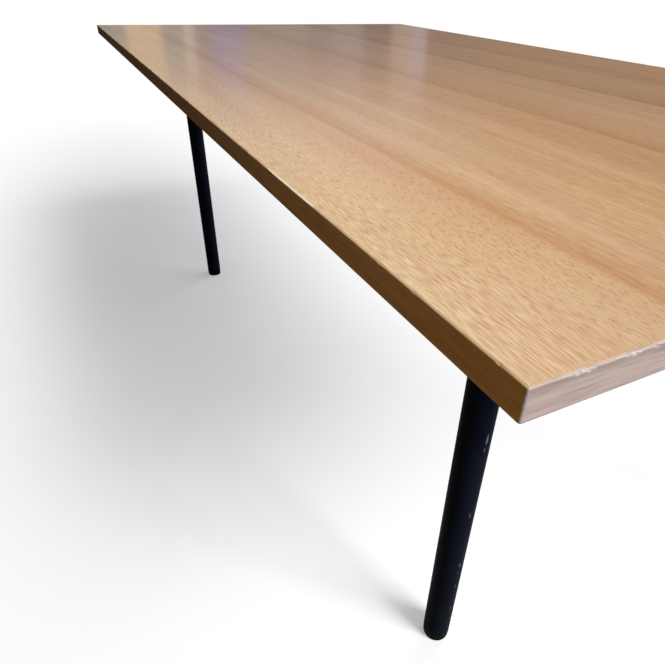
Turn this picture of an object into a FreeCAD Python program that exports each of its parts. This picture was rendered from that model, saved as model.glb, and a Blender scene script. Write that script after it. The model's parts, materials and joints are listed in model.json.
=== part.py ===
# Rectangular table with a veneered, edge-banded top on four round screw-on steel legs.
# Millimetres. The origin is on the floor under the middle of the top, X runs along the
# length to the right, Y runs from the front edge to the rear edge, and Z is up.

import FreeCAD, Part
import math
import os
import re
import Sketcher

# Sizes: name, millimetres, what it is.
SIZES = [
    ("table_length", 1800, "length of the finished top"),
    ("table_width", 1000, "width of the finished top"),
    ("leg_height", 700, "floor to the underside of the top"),
    ("core_thickness", 19, "particleboard core of the top"),
    ("veneer_thickness", 0.8, "sheet on the upper face, and its balancing sheet below"),
    ("band_thickness", 2, "edge bands glued round the top"),
    ("edge_radius", 1.5, "rounding of every outer edge of the bands"),
    ("leg_end_inset", 220, "leg axis to the nearest end of the top"),
    ("leg_side_inset", 192, "leg axis to the nearest long edge of the top"),
    ("tube_diameter", 40, "outside of a leg tube"),
    ("tube_wall", 1.5, "wall of a leg tube"),
    ("plate_diameter", 96, "pressed mounting plate under the top"),
    ("plate_thickness", 2.5, "sheet steel of the mounting plate"),
    ("plate_rim_radius", 0.8, "rounding of the mounting plate's rim"),
    ("hub_depth", 9, "dished hub of the plate, from the top's underside down"),
    ("hub_clearance", 0.3, "radial gap between the hub and the bore of the tube"),
    ("bend_radius", 1.5, "rounding of the pressed hub"),
    ("stud_diameter", 10, "threaded stud that the leg screws on to"),
    ("stud_head_clearance", 0.7, "radial gap between the flat head of the stud and the hub's bend"),
    ("stud_head_height", 4.5, "thickness of the stud's head"),
    ("stud_projection", 6, "stud showing past the nut plate"),
    ("stud_chamfer", 1, "lead-in chamfer on studs and spindles"),
    ("nut_plate_thickness", 6, "threaded disc welded inside the tube"),
    ("nut_plate_depth", 14, "upper rim of the tube down to the threaded disc"),
    ("thread_clearance", 0.1, "radial gap left between a thread and its nut"),
    ("weld_clearance", 0.1, "radial gap round the threaded disc before welding"),
    ("hole_clearance", 0.25, "radial gap round a bolt or screw in a plain hole"),
    ("screw_circle", 68, "diameter of the circle that the wood screws lie on"),
    ("screw_count", 5, "wood screws in each mounting plate"),
    ("screw_length", 16, "countersunk wood screw, overall"),
    ("screw_diameter", 4.5, "outside of the wood screw's thread"),
    ("screw_head_diameter", 8.5, "countersunk head"),
    ("screw_tip_length", 4, "tapered point of the screw"),
    ("recess_span", 4.4, "cross recess of the screw head, tip to tip"),
    ("recess_width", 0.9, "one arm of the cross recess, side to side"),
    ("recess_depth", 1.8, "depth of the cross recess"),
    ("seat_clearance", 0.05, "gap between a countersunk head and its seat"),
    ("pilot_clearance", 0.1, "radial gap round a screw in the board"),
    ("pilot_spare", 1, "pilot hole beyond the point of the screw"),
    ("plug_flange_height", 4, "rim of the tube plug that shows below the tube"),
    ("plug_depth", 26, "tube plug inside the tube"),
    ("plug_ring_rise", 3.5, "how far the plug's gripping rings stand out from its body"),
    ("plug_ring_count", 4, "gripping rings on the plug"),
    ("plug_ring_thickness", 2.5, "one gripping ring along the tube"),
    ("press_clearance", 0.1, "radial gap left at the pressed-in rings"),
    ("foot_setback", 0.5, "side of the levelling foot inside the side of the tube"),
    ("foot_height", 10, "levelling foot, floor to the plug"),
    ("foot_edge_radius", 2, "rounding where the foot meets the floor"),
    ("foot_rim_radius", 0.6, "rounding of the foot's upper rim and the plug's rim"),
    ("foot_floor", 3, "plastic below the head of the spindle"),
    ("spindle_diameter", 10, "threaded spindle moulded into the foot"),
    ("spindle_head_diameter", 20, "head of the spindle inside the foot"),
    ("spindle_head_height", 4, "thickness of that head"),
    ("spindle_reach", 24, "spindle above the foot when it is screwed right in"),
    ("mould_clearance", 0.1, "gap between the spindle and the foot moulded round it"),
]

doc = FreeCAD.newDocument("table")
sheet = doc.addObject("Spreadsheet::Sheet", "Sizes")
for row, (name, number, note) in enumerate(SIZES, 1):
    sheet.set("A%d" % row, note)
    sheet.set("B%d" % row, str(number))
    sheet.setAlias("B%d" % row, name)
doc.recompute()


def bound(formula):
    """The formula with every size name pointing at its cell in the sheet."""
    return re.sub("[a-z_]+", lambda word: "Sizes." + word.group(), formula)


def value(formula):
    """What a formula comes to with the sizes as they stand."""
    return float(sheet.evalExpression(bound(formula)))


def place(piece, x, y, z):
    """Bind a piece's position to three formulas."""
    for axis, formula in zip("xyz", (x, y, z)):
        piece.setExpression("Placement.Base." + axis, bound(formula))


def box(label, corner, size):
    """A rectangular block from its low corner and its three sizes, all formulas."""
    block = doc.addObject("Part::Box", label)
    for side, formula in zip(("Length", "Width", "Height"), size):
        block.setExpression(side, bound(formula))
    place(block, *corner)
    return block


def new_body(label, x="0", y="0", z="0"):
    """An empty body whose own origin stands at the three formulas."""
    body = doc.addObject("PartDesign::Body", label)
    body.Label = label
    place(body, x, y, z)
    return body


def new_sketch(body, plane, name):
    """An empty sketch on one of the body's own origin planes."""
    sketch = body.newObject("Sketcher::SketchObject", name)
    roles = {feature.Role: feature for feature in body.Origin.OriginFeatures}
    sketch.AttachmentSupport = [(roles[plane], "")]
    sketch.MapMode = "FlatFace"
    return sketch


def pin(sketch, geometry, point, across, up):
    """Hold one point of a sketch at two formulas, measured from the sketch's origin."""
    for kind, formula in (("DistanceX", across), ("DistanceY", up)):
        rule = Sketcher.Constraint(kind, -1, 1, geometry, point, value(formula))
        index = sketch.addConstraint(rule)
        sketch.setExpression("Constraints[%d]" % index, bound(formula))


def outline(sketch, corners):
    """A closed run of straight lines through corners given as pairs of formulas."""
    spots = [FreeCAD.Vector(value(across), value(up), 0) for across, up in corners]
    count = len(spots)
    for i in range(count):
        sketch.addGeometry(Part.LineSegment(spots[i], spots[(i + 1) % count]), False)
    for i in range(count):
        sketch.addConstraint(Sketcher.Constraint("Coincident", i, 2, (i + 1) % count, 1))
    for i, (across, up) in enumerate(corners):
        pin(sketch, i, 1, across, up)


def circle(sketch, across, up, diameter):
    """A circle whose centre and diameter are formulas."""
    spot = FreeCAD.Vector(value(across), value(up), 0)
    ring = Part.Circle(spot, FreeCAD.Vector(0, 0, 1), value(diameter) / 2)
    index = sketch.addGeometry(ring, False)
    pin(sketch, index, 3, across, up)
    rule = sketch.addConstraint(Sketcher.Constraint("Diameter", index, value(diameter)))
    sketch.setExpression("Constraints[%d]" % rule, bound(diameter))


def rectangle(sketch, length, width):
    """A rectangle centred on the sketch's origin."""
    half_length = "(%s) / 2" % length
    half_width = "(%s) / 2" % width
    outline(sketch, [
        ("-" + half_length, "-" + half_width),
        (half_length, "-" + half_width),
        (half_length, half_width),
        ("-" + half_length, half_width),
    ])


def pad(body, sketch, height):
    """Raise a sketch into a solid."""
    feature = body.newObject("PartDesign::Pad", "pad")
    feature.Profile = sketch
    feature.setExpression("Length", bound(height))
    doc.recompute()
    return feature


def pocket(body, sketch, depth, upward=False):
    """Cut a sketch into the body, and stop if it removes nothing."""
    before = body.Shape.Volume
    feature = body.newObject("PartDesign::Pocket", "pocket")
    feature.Profile = sketch
    feature.Reversed = upward
    feature.setExpression("Length", bound(depth))
    doc.recompute()
    if feature.Shape.Volume > before - 1e-6:
        raise RuntimeError("a pocket in %s cuts nothing" % body.Label)
    return feature


def turned(label, x, y, corners, z="0"):
    """A body turned about its upright axis from corners of (radius, height)."""
    body = new_body(label, x, y, z)
    sketch = new_sketch(body, "XZ_Plane", "profile")
    outline(sketch, corners)
    feature = body.newObject("PartDesign::Revolution", "turning")
    feature.Profile = sketch
    feature.ReferenceAxis = (sketch, ["V_Axis"])
    feature.Angle = 360
    doc.recompute()
    return body


def rims(feature, rings):
    """Names of the round edges that match one of the (radius, height) pairs of formulas."""
    wanted = [(value(radius), value(height)) for radius, height in rings]
    names = []
    for i, edge in enumerate(feature.Shape.Edges, 1):
        if not isinstance(edge.Curve, Part.Circle):
            continue
        found = (edge.Curve.Radius, edge.Curve.Center.z)
        if any(math.dist(found, pair) < 1e-4 for pair in wanted):
            names.append("Edge%d" % i)
    if not names:
        raise RuntimeError("no rim found on " + feature.Label)
    return names


def ease(body, kind, size, rings):
    """Round (Fillet) or bevel (Chamfer) the round edges named by radius and height."""
    base = body.Tip
    feature = body.newObject("PartDesign::" + kind, kind.lower())
    feature.Base = (base, rims(base, rings))
    feature.setExpression("Radius" if kind == "Fillet" else "Size", bound(size))
    doc.recompute()
    return feature


pieces = []

# The top: a core board, a sheet on each face, and a band glued to each edge. The bands
# go on square and are rounded in one pass, so each is its strip of the rounded blank.
TOP = "core_thickness + 2 * veneer_thickness"
BOARD_LENGTH = "table_length - 2 * band_thickness"
BOARD_WIDTH = "table_width - 2 * band_thickness"

blank = new_body("rounded_blank", z="leg_height")
blank_plan = new_sketch(blank, "XY_Plane", "plan")
rectangle(blank_plan, "table_length", "table_width")
blank_pad = pad(blank, blank_plan, TOP)
rounding = blank.newObject("PartDesign::Fillet", "rounding")
rounding.Base = (blank_pad, ["Edge%d" % i for i in range(1, len(blank_pad.Shape.Edges) + 1)])
rounding.setExpression("Radius", bound("edge_radius"))
doc.recompute()

BANDS = {
    "front": ("-table_length / 2", "-table_width / 2", "table_length", "band_thickness"),
    "rear": ("-table_length / 2", "table_width / 2 - band_thickness", "table_length", "band_thickness"),
    "left": ("-table_length / 2", "band_thickness - table_width / 2", "band_thickness", BOARD_WIDTH),
    "right": ("table_length / 2 - band_thickness", "band_thickness - table_width / 2",
              "band_thickness", BOARD_WIDTH),
}
for side, (x, y, length, width) in BANDS.items():
    strip = box("strip_" + side, (x, y, "leg_height"), (length, width, TOP))
    band = doc.addObject("Part::Common", "edge_band_" + side)
    band.Label = "edge_band_" + side
    band.Base = blank
    band.Tool = strip
    pieces.append(band)

pieces.append(box(
    "top_veneer",
    ("-(%s) / 2" % BOARD_LENGTH, "-(%s) / 2" % BOARD_WIDTH, "leg_height + veneer_thickness + core_thickness"),
    (BOARD_LENGTH, BOARD_WIDTH, "veneer_thickness"),
))

# Where the legs and their screws stand.
LEG_X = "(table_length / 2 - leg_end_inset)"
LEG_Y = "(table_width / 2 - leg_side_inset)"
CORNERS = {
    "front_left": ("-" + LEG_X, "-" + LEG_Y),
    "front_right": (LEG_X, "-" + LEG_Y),
    "rear_left": ("-" + LEG_X, LEG_Y),
    "rear_right": (LEG_X, LEG_Y),
}
SCREW_COUNT = round(value("screw_count"))
SCREW_TURNS = [2 * math.pi * i / SCREW_COUNT for i in range(SCREW_COUNT)]


def screw_spots(leg_x, leg_y):
    """Centres of one leg's wood screws as pairs of formulas."""
    return [
        ("%s + %.9f * screw_circle" % (leg_x, math.cos(turn) / 2),
         "%s + %.9f * screw_circle" % (leg_y, math.sin(turn) / 2))
        for turn in SCREW_TURNS
    ]


def drilled_board(label, z, thickness, depth):
    """A board of the top's size with a pilot hole from below for every wood screw."""
    body = new_body(label, z=z)
    plan = new_sketch(body, "XY_Plane", "plan")
    rectangle(plan, BOARD_LENGTH, BOARD_WIDTH)
    pad(body, plan, thickness)
    holes = new_sketch(body, "XY_Plane", "pilot_holes")
    for leg_x, leg_y in CORNERS.values():
        for across, up in screw_spots(leg_x, leg_y):
            circle(holes, across, up, "screw_diameter + 2 * pilot_clearance")
    pocket(body, holes, depth, upward=True)
    return body


SCREW_IN_CORE = "screw_length - plate_thickness - veneer_thickness + pilot_spare"
pieces.append(drilled_board("core_board", "leg_height + veneer_thickness", "core_thickness", SCREW_IN_CORE))
pieces.append(drilled_board("backing_veneer", "leg_height", "veneer_thickness", "veneer_thickness"))

# Heights and radii that the pieces of a leg share.
PLATE_LOW = "leg_height - plate_thickness"
HUB_LOW = "leg_height - hub_depth"
CUP_FLOOR = "leg_height - hub_depth + plate_thickness"
NUT_TOP = "leg_height - plate_thickness - nut_plate_depth"
NUT_LOW = "leg_height - plate_thickness - nut_plate_depth - nut_plate_thickness"
STUD_END = NUT_LOW + " - stud_projection"
TUBE_LOW = "foot_height + plug_flange_height"
PLUG_TOP = "foot_height + plug_flange_height + plug_depth"
BORE = "tube_diameter / 2 - tube_wall"
HUB = BORE + " - hub_clearance"


def mounting_plate(label, x, y):
    """Pressed round plate with a dished hub and a circle of countersunk screw holes."""
    cup = HUB + " - plate_thickness"
    hole = "stud_diameter / 2 + hole_clearance"
    rim = "plate_diameter / 2"
    body = turned(label, x, y, [
        (cup, "leg_height"),
        (rim, "leg_height"),
        (rim, PLATE_LOW),
        (HUB, PLATE_LOW),
        (HUB, HUB_LOW),
        (hole, HUB_LOW),
        (hole, CUP_FLOOR),
        (cup, CUP_FLOOR),
    ])
    ease(body, "Fillet", "bend_radius", [(HUB, HUB_LOW), (cup, "leg_height"), (cup, CUP_FLOOR)])
    ease(body, "Fillet", "plate_rim_radius", [(rim, "leg_height"), (rim, PLATE_LOW)])

    holes = new_sketch(body, "XY_Plane", "screw_hole")
    circle(holes, "screw_circle / 2", "0", "screw_diameter + 2 * hole_clearance")
    cut = pocket(body, holes, "leg_height", upward=True)
    ring = body.newObject("PartDesign::PolarPattern", "screw_ring")
    ring.Originals = [cut]
    ring.Axis = (holes, ["N_Axis"])
    ring.Angle = 360
    ring.setExpression("Occurrences", bound("screw_count"))
    body.Tip = ring
    doc.recompute()
    sink = "screw_head_diameter / 2 - screw_diameter / 2 - hole_clearance + seat_clearance"
    ease(body, "Chamfer", sink, [("screw_diameter / 2 + hole_clearance", PLATE_LOW)])
    return body


def stud(label, x, y):
    """Threaded stud whose flat head sits in the hub of the mounting plate."""
    radius = "stud_diameter / 2"
    head = HUB + " - plate_thickness - bend_radius - stud_head_clearance"
    head_top = CUP_FLOOR + " + stud_head_height"
    return turned(label, x, y, [
        ("0", head_top),
        (head, head_top),
        (head, CUP_FLOOR),
        (radius, CUP_FLOOR),
        (radius, STUD_END + " + stud_chamfer"),
        (radius + " - stud_chamfer", STUD_END),
        ("0", STUD_END),
    ])


def tube(label, x, y):
    """Plain round tube from the foot's plug up to the mounting plate."""
    body = new_body(label, x, y, TUBE_LOW)
    section = new_sketch(body, "XY_Plane", "section")
    circle(section, "0", "0", "tube_diameter")
    circle(section, "0", "0", "2 * (%s)" % BORE)
    pad(body, section, "leg_height - plate_thickness - foot_height - plug_flange_height")
    return body


def nut_plate(label, x, y):
    """Threaded disc welded into the tube, with its hole eased at both faces."""
    hole = "stud_diameter / 2 + thread_clearance"
    edge = BORE + " - weld_clearance"
    body = turned(label, x, y, [(hole, NUT_LOW), (edge, NUT_LOW), (edge, NUT_TOP), (hole, NUT_TOP)])
    ease(body, "Chamfer", "stud_chamfer", [(hole, NUT_LOW), (hole, NUT_TOP)])
    return body


def tube_plug(label, x, y):
    """Ringed plug pressed into the tube, with a rim below it and a bore for the spindle."""
    bore = "spindle_diameter / 2 + thread_clearance"
    grip = BORE + " - press_clearance"
    core = grip + " - plug_ring_rise"
    count = round(value("plug_ring_count"))
    corners = [(bore, "foot_height"), ("tube_diameter / 2", "foot_height"), ("tube_diameter / 2", TUBE_LOW)]
    for i in range(count):
        low = "%s + %.9f * (plug_depth - plug_ring_thickness)" % (TUBE_LOW, i / (count - 1))
        if i > 0:
            corners.append((core, low))
        corners.append((grip, low))
        corners.append((grip, low + " + plug_ring_thickness"))
        if i < count - 1:
            corners.append((core, low + " + plug_ring_thickness"))
    corners.append((bore, PLUG_TOP))
    body = turned(label, x, y, corners)
    ease(body, "Fillet", "foot_rim_radius", [("tube_diameter / 2", "foot_height")])
    return body


def spindle(label, x, y):
    """Threaded spindle with a flat head, moulded into the levelling foot."""
    radius = "spindle_diameter / 2"
    head = "spindle_head_diameter / 2"
    head_top = "foot_floor + spindle_head_height"
    end = "foot_height + spindle_reach"
    return turned(label, x, y, [
        ("0", "foot_floor"),
        (head, "foot_floor"),
        (head, head_top),
        (radius, head_top),
        (radius, end + " - stud_chamfer"),
        (radius + " - stud_chamfer", end),
        ("0", end),
    ])


def levelling_foot(label, x, y):
    """Round foot moulded round the head of its spindle."""
    rim = "tube_diameter / 2 - foot_setback"
    neck = "spindle_diameter / 2 + mould_clearance"
    pouch = "spindle_head_diameter / 2 + mould_clearance"
    pouch_low = "foot_floor - mould_clearance"
    pouch_top = "foot_floor + spindle_head_height + mould_clearance"
    body = turned(label, x, y, [
        ("0", "0"),
        (rim, "0"),
        (rim, "foot_height"),
        (neck, "foot_height"),
        (neck, pouch_top),
        (pouch, pouch_top),
        (pouch, pouch_low),
        ("0", pouch_low),
    ])
    ease(body, "Fillet", "foot_edge_radius", [(rim, "0")])
    ease(body, "Fillet", "foot_rim_radius", [(rim, "foot_height")])
    return body


LEG_PIECES = {
    "leg_plate": mounting_plate,
    "leg_stud": stud,
    "leg_nut_plate": nut_plate,
    "leg_tube": tube,
    "leg_plug": tube_plug,
    "foot_spindle": spindle,
    "foot": levelling_foot,
}
for corner, (leg_x, leg_y) in CORNERS.items():
    for name, make in LEG_PIECES.items():
        pieces.append(make("%s_%s" % (name, corner), leg_x, leg_y))

# One countersunk wood screw, point up, its head flush with the underside of the plate.
screw_radius = "screw_diameter / 2"
screw_head = "screw_head_diameter / 2"
screw = turned("wood_screw", "0", "0", [
    ("0", "0"),
    (screw_head, "0"),
    (screw_radius, "%s - %s" % (screw_head, screw_radius)),
    (screw_radius, "screw_length - screw_tip_length"),
    ("0", "screw_length"),
], z=PLATE_LOW)
recess = new_sketch(screw, "XY_Plane", "cross_recess")
span = "recess_span / 2"
arm = "recess_width / 2"
outline(recess, [
    (span, "-" + arm), (span, arm), (arm, arm),
    (arm, span), ("-" + arm, span), ("-" + arm, arm),
    ("-" + span, arm), ("-" + span, "-" + arm), ("-" + arm, "-" + arm),
    ("-" + arm, "-" + span), (arm, "-" + span), (arm, "-" + arm),
])
pocket(screw, recess, "recess_depth", upward=True)

# All the wood screws are alike, so they are one group of separate solids.
screw_copies = []
for leg_x, leg_y in CORNERS.values():
    for across, up in screw_spots(leg_x, leg_y):
        copy = screw.Shape.copy()
        copy.translate(FreeCAD.Vector(value(across), value(up), 0))
        screw_copies.append(copy)
screws = doc.addObject("Part::Feature", "leg_plate_screws")
screws.Shape = Part.makeCompound(screw_copies)
pieces.append(screws)

doc.recompute()

# Nothing is written unless every object built cleanly and every piece is a sound solid.
for thing in doc.Objects:
    if "Invalid" in thing.State or "Error" in thing.State:
        raise RuntimeError("%s did not build: %s" % (thing.Label, thing.State))
os.makedirs("parts", exist_ok=True)
for piece in pieces:
    shape = piece.Shape
    if shape.isNull() or not shape.isValid() or not shape.Solids:
        raise RuntimeError("%s is not a sound solid" % piece.Label)
    shape.exportStep("parts/%s.step" % piece.Label)
    print("%-28s %2d solid %12.1f mm3" % (piece.Label, len(shape.Solids), shape.Volume))
print("%d nodes" % len(pieces))
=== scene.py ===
# %% [markdown]
# # A veneered table on four round steel legs
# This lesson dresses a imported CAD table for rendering. The CAD model gives every place and
# size in metres: the floor is at height zero, the length runs along X, the front edge faces
# -Y and Z is up. Pieces whose shape carries the looks, such as the worn edge bands, the leg
# tubes and the threaded spindles, are worked out again as fine surfaces. The others keep
# their CAD shape and only get a better finish.

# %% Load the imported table
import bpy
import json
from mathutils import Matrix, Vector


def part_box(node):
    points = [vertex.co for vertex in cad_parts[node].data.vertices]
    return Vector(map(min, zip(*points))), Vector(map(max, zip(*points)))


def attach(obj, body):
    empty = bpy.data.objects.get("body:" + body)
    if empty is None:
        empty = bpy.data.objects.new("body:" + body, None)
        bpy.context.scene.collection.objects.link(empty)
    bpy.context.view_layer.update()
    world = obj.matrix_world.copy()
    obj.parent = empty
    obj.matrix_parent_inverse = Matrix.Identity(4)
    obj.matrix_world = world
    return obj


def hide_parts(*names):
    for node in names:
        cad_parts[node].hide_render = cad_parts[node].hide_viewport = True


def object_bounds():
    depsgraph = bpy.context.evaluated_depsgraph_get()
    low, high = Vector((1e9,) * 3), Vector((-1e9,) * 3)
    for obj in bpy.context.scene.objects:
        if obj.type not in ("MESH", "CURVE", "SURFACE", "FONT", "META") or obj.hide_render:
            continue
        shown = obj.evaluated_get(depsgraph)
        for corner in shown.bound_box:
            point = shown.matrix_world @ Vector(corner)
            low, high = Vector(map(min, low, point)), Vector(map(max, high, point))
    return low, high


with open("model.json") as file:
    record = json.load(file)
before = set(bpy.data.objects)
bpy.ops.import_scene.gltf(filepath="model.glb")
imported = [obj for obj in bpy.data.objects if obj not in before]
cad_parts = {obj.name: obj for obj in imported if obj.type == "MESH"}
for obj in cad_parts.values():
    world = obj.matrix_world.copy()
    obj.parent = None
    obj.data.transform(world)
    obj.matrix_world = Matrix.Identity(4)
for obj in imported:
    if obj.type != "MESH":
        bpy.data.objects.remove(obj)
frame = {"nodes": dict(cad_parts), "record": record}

cad_low, cad_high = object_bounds()
print("CAD box", [round(v, 4) for v in (*cad_low, *cad_high)])

# %% [markdown]
# ## Colours and shader nodes
# A colour is easiest to read as the hex code that a paint program shows, but Blender's
# sockets take linear light. One function turns the first into the second. Node trees are
# long to write by hand, so a second small function adds a node of any kind with its settings,
# its input values or links, and the stops of a colour ramp. Inputs that share a name go by
# number: on a range 0 is the value, 1 and 2 are its start and end, and 3 and 4 what these
# become. A range of three values at once has 6 to 10 instead. On a mix of colours 0 is the
# share, and 6 and 7 are the two colours.

# %% Colours
import bmesh
import bpy
import json
import math
import numpy as np
from mathutils import Matrix, Vector


def linear(code):
    """sRGB hex to linear: low channels are divided by 12.92, the rest are raised to the power 2.4."""
    part = np.array([int(code[i:i + 2], 16) for i in (1, 3, 5)]) / 255
    bright = ((part + 0.055) / 1.055) ** 2.4
    return (*np.where(part <= 0.04045, part / 12.92, bright).tolist(), 1.0)


def grey(level):
    """The same level in red, green and blue."""
    return (level, level, level, 1.0)


def colour_stops(rows):
    """Stops of a colour ramp, from rows of a place and a hex colour."""
    return [(place, linear(code)) for place, code in rows]


def grey_stops(rows):
    """Stops of a ramp that is used as a mask, from rows of a place and a level."""
    return [(place, grey(level)) for place, level in rows]


print("beech reads as", [round(v, 3) for v in linear("#DAB68C")])

# %% Nodes
NOISE_LOW = 0.3   # a noise texture lies mostly between these two values
NOISE_HIGH = 0.7
SOFT = {"interpolation_type": "SMOOTHSTEP"}              # a range with soft ends
BLEND = {"data_type": "RGBA"}                            # a mix of two colours
TIMES = {"data_type": "RGBA", "blend_type": "MULTIPLY"}  # a mix that multiplies them


def per_metre(size):
    """How often each size fits in a metre, along X, Y and Z. Without a size it is 0: no change that way."""
    return (*(1 / v for v in size), 0, 0)[:3]


def add(tree, kind, inputs=None, stops=None, **settings):
    """Adds a shader node. An input goes by its name or number, and is a value or another node's output."""
    node = tree.nodes.new("ShaderNode" + kind)
    for name, value in settings.items():
        setattr(node, name, value)
    for name, value in (inputs or {}).items():
        if isinstance(value, bpy.types.NodeSocket):
            tree.links.new(value, node.inputs[name])
        else:
            node.inputs[name].default_value = value
    if stops:
        ramp = node.color_ramp.elements
        ramp.remove(ramp[-1])
        ramp[0].position = stops[0][0]
        ramp[0].color = stops[0][1]
        for place, colour in stops[1:]:
            ramp.new(place).color = colour
    return node


def new_material(name):
    """Starts a material with an empty tree, and also gives the object's own coordinates, in metres."""
    material = bpy.data.materials.new(name)
    material.use_nodes = True
    tree = material.node_tree
    tree.nodes.clear()
    place = add(tree, "TexCoord").outputs["Object"]
    return material, tree, place


print("noise lies mostly between", NOISE_LOW, "and", NOISE_HIGH)

# %% [markdown]
# ## Surfaces from arrays
# A surface is a grid of points: rows one way, columns the other. Blender wants a list of
# points and a list of four-cornered faces, and both come from whole arrays. Where a row
# shrinks to one point, as at the middle of a foot, the points are merged, so the skin is
# closed. Each finished object stays at the origin, and its place is in its points.

# %% Grid to mesh
MERGE_GAP = 1e-7   # points closer than this become one
SHARP_ANGLE = 35   # two faces that meet at more degrees than this have a sharp edge


def surface(name, points, closed_rows=False, closed_columns=False, **layers):
    """Joins a (rows, columns, 3) grid by quads. A closed direction also joins its last line to its first."""
    rows, columns = points.shape[:2]
    index = np.arange(rows * columns).reshape(rows, columns)
    if closed_rows:
        index = np.vstack([index, index[:1]])
    if closed_columns:
        index = np.hstack([index, index[:, :1]])
    corners = [index[:-1, :-1], index[1:, :-1], index[1:, 1:], index[:-1, 1:]]
    quads = np.stack(corners, axis=-1).reshape(-1, 4)
    mesh = bpy.data.meshes.new(name)
    mesh.from_pydata(points.reshape(-1, 3), [], quads)
    for layer, values in layers.items():
        mesh.attributes.new(layer, "FLOAT", "POINT").data.foreach_set("value", values.ravel())
    skin = bmesh.new()
    skin.from_mesh(mesh)
    bmesh.ops.remove_doubles(skin, verts=skin.verts, dist=MERGE_GAP)
    bmesh.ops.recalc_face_normals(skin, faces=skin.faces)
    skin.to_mesh(mesh)
    skin.free()
    mesh.shade_smooth()
    mesh.set_sharp_from_angle(angle=math.radians(SHARP_ANGLE))
    return mesh


def add_object(name, data):
    """Makes an object of a mesh, camera or lamp, and links it into the scene."""
    made = bpy.data.objects.new(name, data)
    bpy.context.scene.collection.objects.link(made)
    return made


def show(mesh, material, body, node):
    """Puts a mesh in the scene in place of a CAD node and the body it rides on."""
    mesh.materials.append(material)
    piece = add_object(mesh.name, mesh)
    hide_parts(node)
    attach(piece, body)
    print(piece.name, len(mesh.polygons), "faces")


print("edges look sharp from", SHARP_ANGLE, "degrees")

# %% [markdown]
# ## Beech veneer
# The top is covered with flat-cut beech veneer: leaves laid side by side along the length,
# each with its own tone, darker at one side where it reaches nearer the heartwood. Close up
# there are two kinds of figure. Where the leaf is cut along the rays it shows fine straight
# lines, and where it is cut across them it shows short dark flecks. A picture of wood would
# do, but it would repeat and blur, so the figure is made of stretched noise: long cells for
# the streaks, thin ones for the lines, and a stretched cell pattern for the flecks. A satin
# lacquer lies over it, and mirrors the room more the flatter you look along it.

# %% Beech veneer, flat-cut, lacquered
STREAK = (0.70, 0.022)    # broad growth streaks: length and width in metres
BLUSH = (0.35, 0.045)     # pinkish clouds
RULE = (0.40, 0.0024)     # long thin lines in the darker wood
DASH = (0.013, 0.0009)    # dark and pale broken lines where the leaf is cut along the rays
FLECK = (0.0120, 0.0015)  # cell of one ray fleck
DRIFT = (0.45, 0.004)     # the leaves wander sideways: length of a bend, and how far
LEAF_SHIFT = (31.7, 0, 17.3)      # moves the figure on from leaf to leaf, so that no two are alike
JOINT = 0.006                     # share of the table's width over which two leaves meet
TONE_PLACES = (0, 0.12, 0.45, 1)  # where a leaf has its four tones, from its front to its rear
LEAVES = [
    # front edge of a leaf as a share of the table's width, then its four tones
    (0.000, "#EACA97", "#E9C896", "#E8C393", "#E2B98C"),
    (0.121, "#D09B66", "#E3BC92", "#E2B98D", "#D6A578"),
    (0.397, "#C08E64", "#D5A57B", "#DBAF87", "#D6A981"),
    (0.616, "#BC8A60", "#C6956B", "#CF9F76", "#CF9F76"),
    (0.781, "#B98760", "#BF8D64", "#C99771", "#CA9A71"),
]
rear_edges = [row[0] - JOINT for row in LEAVES[1:]] + [1.0]
tone_stops = []
leaf_stops = []
for number, ((front, *codes), rear) in enumerate(zip(LEAVES, rear_edges)):
    leaf_stops.append((max(front - JOINT / 2, 0), grey(number / len(LEAVES))))
    for share, code in zip(TONE_PLACES, codes):
        tone_stops.append((front + share * (rear - front), linear(code)))

veneer, tree, place = new_material("beech_veneer_lacquered")
xyz = add(tree, "SeparateXYZ", {0: place}).outputs
drift = add(tree, "TexNoise", {"W": xyz["X"], "Scale": 1 / DRIFT[0]}, noise_dimensions="1D").outputs[0]
wander = add(tree, "MapRange", {0: drift, 3: -DRIFT[1], 4: DRIFT[1]}).outputs[0]
across = add(tree, "Math", {0: xyz["Y"], 1: wander}, operation="ADD").outputs[0]
from_front = add(tree, "MapRange", {0: across, 1: cad_low.y, 2: cad_high.y}).outputs[0]
tone = add(tree, "ValToRGB", {0: from_front}, tone_stops).outputs[0]
leaf = add(tree, "ValToRGB", {0: from_front}, leaf_stops)
leaf.color_ramp.interpolation = "CONSTANT"
leaf_place = add(tree, "CombineXYZ", {0: leaf.outputs[0], 2: leaf.outputs[0]}).outputs[0]
shift = add(tree, "VectorMath", {0: leaf_place, 1: LEAF_SHIFT}, operation="MULTIPLY").outputs[0]
sizes = {"streak": STREAK, "blush": BLUSH, "rule": RULE, "dash": DASH, "fleck": FLECK}
grid = {}
for name, size in sizes.items():
    scaled = {0: place, 1: per_metre(size), 2: shift}
    grid[name] = add(tree, "VectorMath", scaled, operation="MULTIPLY_ADD").outputs[0]
print("veneer figure:", {name: tuple(round(1000 * v, 1) for v in size) for name, size in sizes.items()}, "mm")

# %% Tones of the veneer: streaks, clouds and the darker end
STREAK_DARK = (0.92, 0.89, 0.86)   # what a dark streak does to red, green and blue
STREAK_LIGHT = (1.08, 1.11, 1.14)  # and a light one
BLUSH_RANGE = (0.42, 0.68)         # values of the noise between which a cloud sets in
BLUSH_SHARE = 0.50                 # how much of the tone a cloud hides
END_START = 0.78                   # the colour turns darker and redder from this X to the right end
END_SHARE = 0.20                   # how far, at the very end
END_FRONT = (0.02, 0.08)           # that sets in between these shares of the width, behind the front edge

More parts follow.
